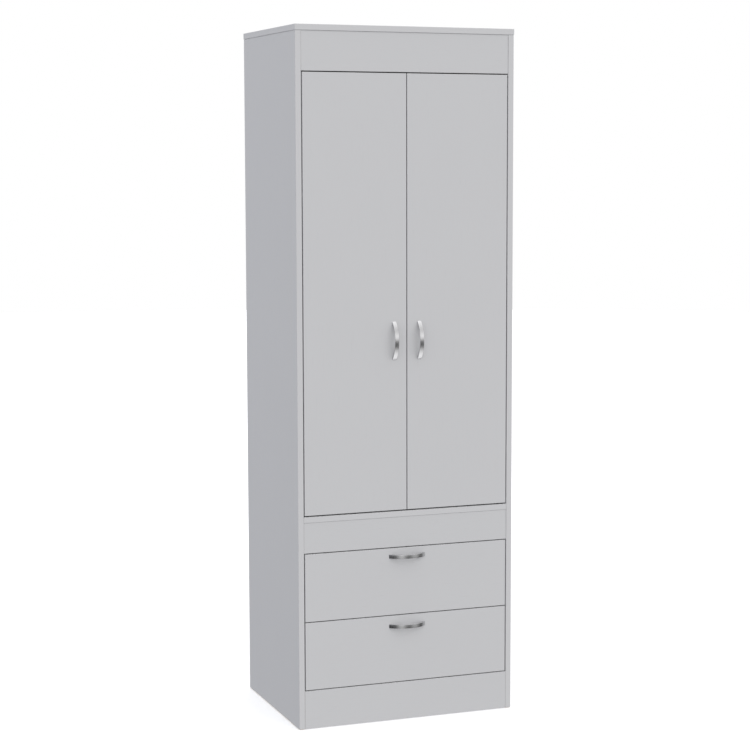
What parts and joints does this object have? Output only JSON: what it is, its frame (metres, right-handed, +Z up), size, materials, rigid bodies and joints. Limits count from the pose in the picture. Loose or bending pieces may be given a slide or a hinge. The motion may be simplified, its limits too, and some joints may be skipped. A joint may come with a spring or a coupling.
{
  "type": "wardrobe with doors",
  "caption": "Tall wardrobe with a pair of inset hinged doors over a hanging space and inset drawers below, with metal bow pulls.",
  "frame": {"origin": "on the ground, at the middle of the bounding box, which includes the pulls", "axes": "+Z up, -Y out of the front, +X towards the right-hand door as seen from the front"},
  "size_m": [0.596, 0.4752, 1.8],
  "materials": {
    "melamine": "matt white melamine-faced particle board",
    "hardboard": "thin white-faced hardboard",
    "pull_metal": "satin nickel",
    "hinge_steel": "nickel-plated pressed steel",
    "rod_chrome": "bright chromed tube",
    "slide_enamel": "white baked enamel",
    "plastic": "white moulded plastic"
  },
  "bodies": {
    "cabinet": {"left_side_panel": "melamine", "right_side_panel": "melamine", "top_panel": "melamine", "header_rail": "melamine", "mid_rail": "melamine", "plinth": "melamine", "wardrobe_floor": "melamine", "base_panel": "melamine", "back_panel_lower": "hardboard", "back_panel_upper": "hardboard", "glide_front_left": "plastic", "glide_front_right": "plastic", "glide_rear_left": "plastic", "glide_rear_right": "plastic", "rod_socket_left": "plastic", "rod_socket_right": "plastic", "hanging_rod": "rod_chrome", "left_hinge_arm_lower": "hinge_steel", "left_hinge_plate_lower": "hinge_steel", "left_hinge_arm_middle": "hinge_steel", "left_hinge_plate_middle": "hinge_steel", "left_hinge_arm_upper": "hinge_steel", "left_hinge_plate_upper": "hinge_steel", "right_hinge_arm_lower": "hinge_steel", "right_hinge_plate_lower": "hinge_steel", "right_hinge_arm_middle": "hinge_steel", "right_hinge_plate_middle": "hinge_steel", "right_hinge_arm_upper": "hinge_steel", "right_hinge_plate_upper": "hinge_steel", "lower_drawer_channel_left": "slide_enamel", "lower_drawer_channel_right": "slide_enamel", "upper_drawer_channel_left": "slide_enamel", "upper_drawer_channel_right": "slide_enamel"},
    "left_door": {"left_door_panel": "melamine", "left_door_pull": "pull_metal", "left_hinge_cup_lower": "hinge_steel", "left_hinge_cup_middle": "hinge_steel", "left_hinge_cup_upper": "hinge_steel"},
    "right_door": {"right_door_panel": "melamine", "right_door_pull": "pull_metal", "right_hinge_cup_lower": "hinge_steel", "right_hinge_cup_middle": "hinge_steel", "right_hinge_cup_upper": "hinge_steel"},
    "lower_drawer": {"lower_drawer_front": "melamine", "lower_drawer_side_left": "melamine", "lower_drawer_side_right": "melamine", "lower_drawer_back": "melamine", "lower_drawer_bottom": "hardboard", "lower_drawer_pull": "pull_metal", "lower_drawer_runner_left": "slide_enamel", "lower_drawer_runner_right": "slide_enamel"},
    "upper_drawer": {"upper_drawer_front": "melamine", "upper_drawer_side_left": "melamine", "upper_drawer_side_right": "melamine", "upper_drawer_back": "melamine", "upper_drawer_bottom": "hardboard", "upper_drawer_pull": "pull_metal", "upper_drawer_runner_left": "slide_enamel", "upper_drawer_runner_right": "slide_enamel"}
  },
  "joints": [
    {"name": "left_door_hinge", "type": "hinge", "parent": "cabinet", "child": "left_door", "pos_m": [-0.2653, -0.20905, 0.5594], "axis": [0, 0, -1], "range_deg": [0, 95]},
    {"name": "right_door_hinge", "type": "hinge", "parent": "cabinet", "child": "right_door", "pos_m": [0.2653, -0.20905, 0.5594], "axis": [0, 0, 1], "range_deg": [0, 95]},
    {"name": "lower_drawer_slide", "type": "slide", "parent": "cabinet", "child": "lower_drawer", "axis": [0, -1, 0], "range_m": [0, 0.3]},
    {"name": "upper_drawer_slide", "type": "slide", "parent": "cabinet", "child": "upper_drawer", "axis": [0, -1, 0], "range_m": [0, 0.3]}
  ]
}
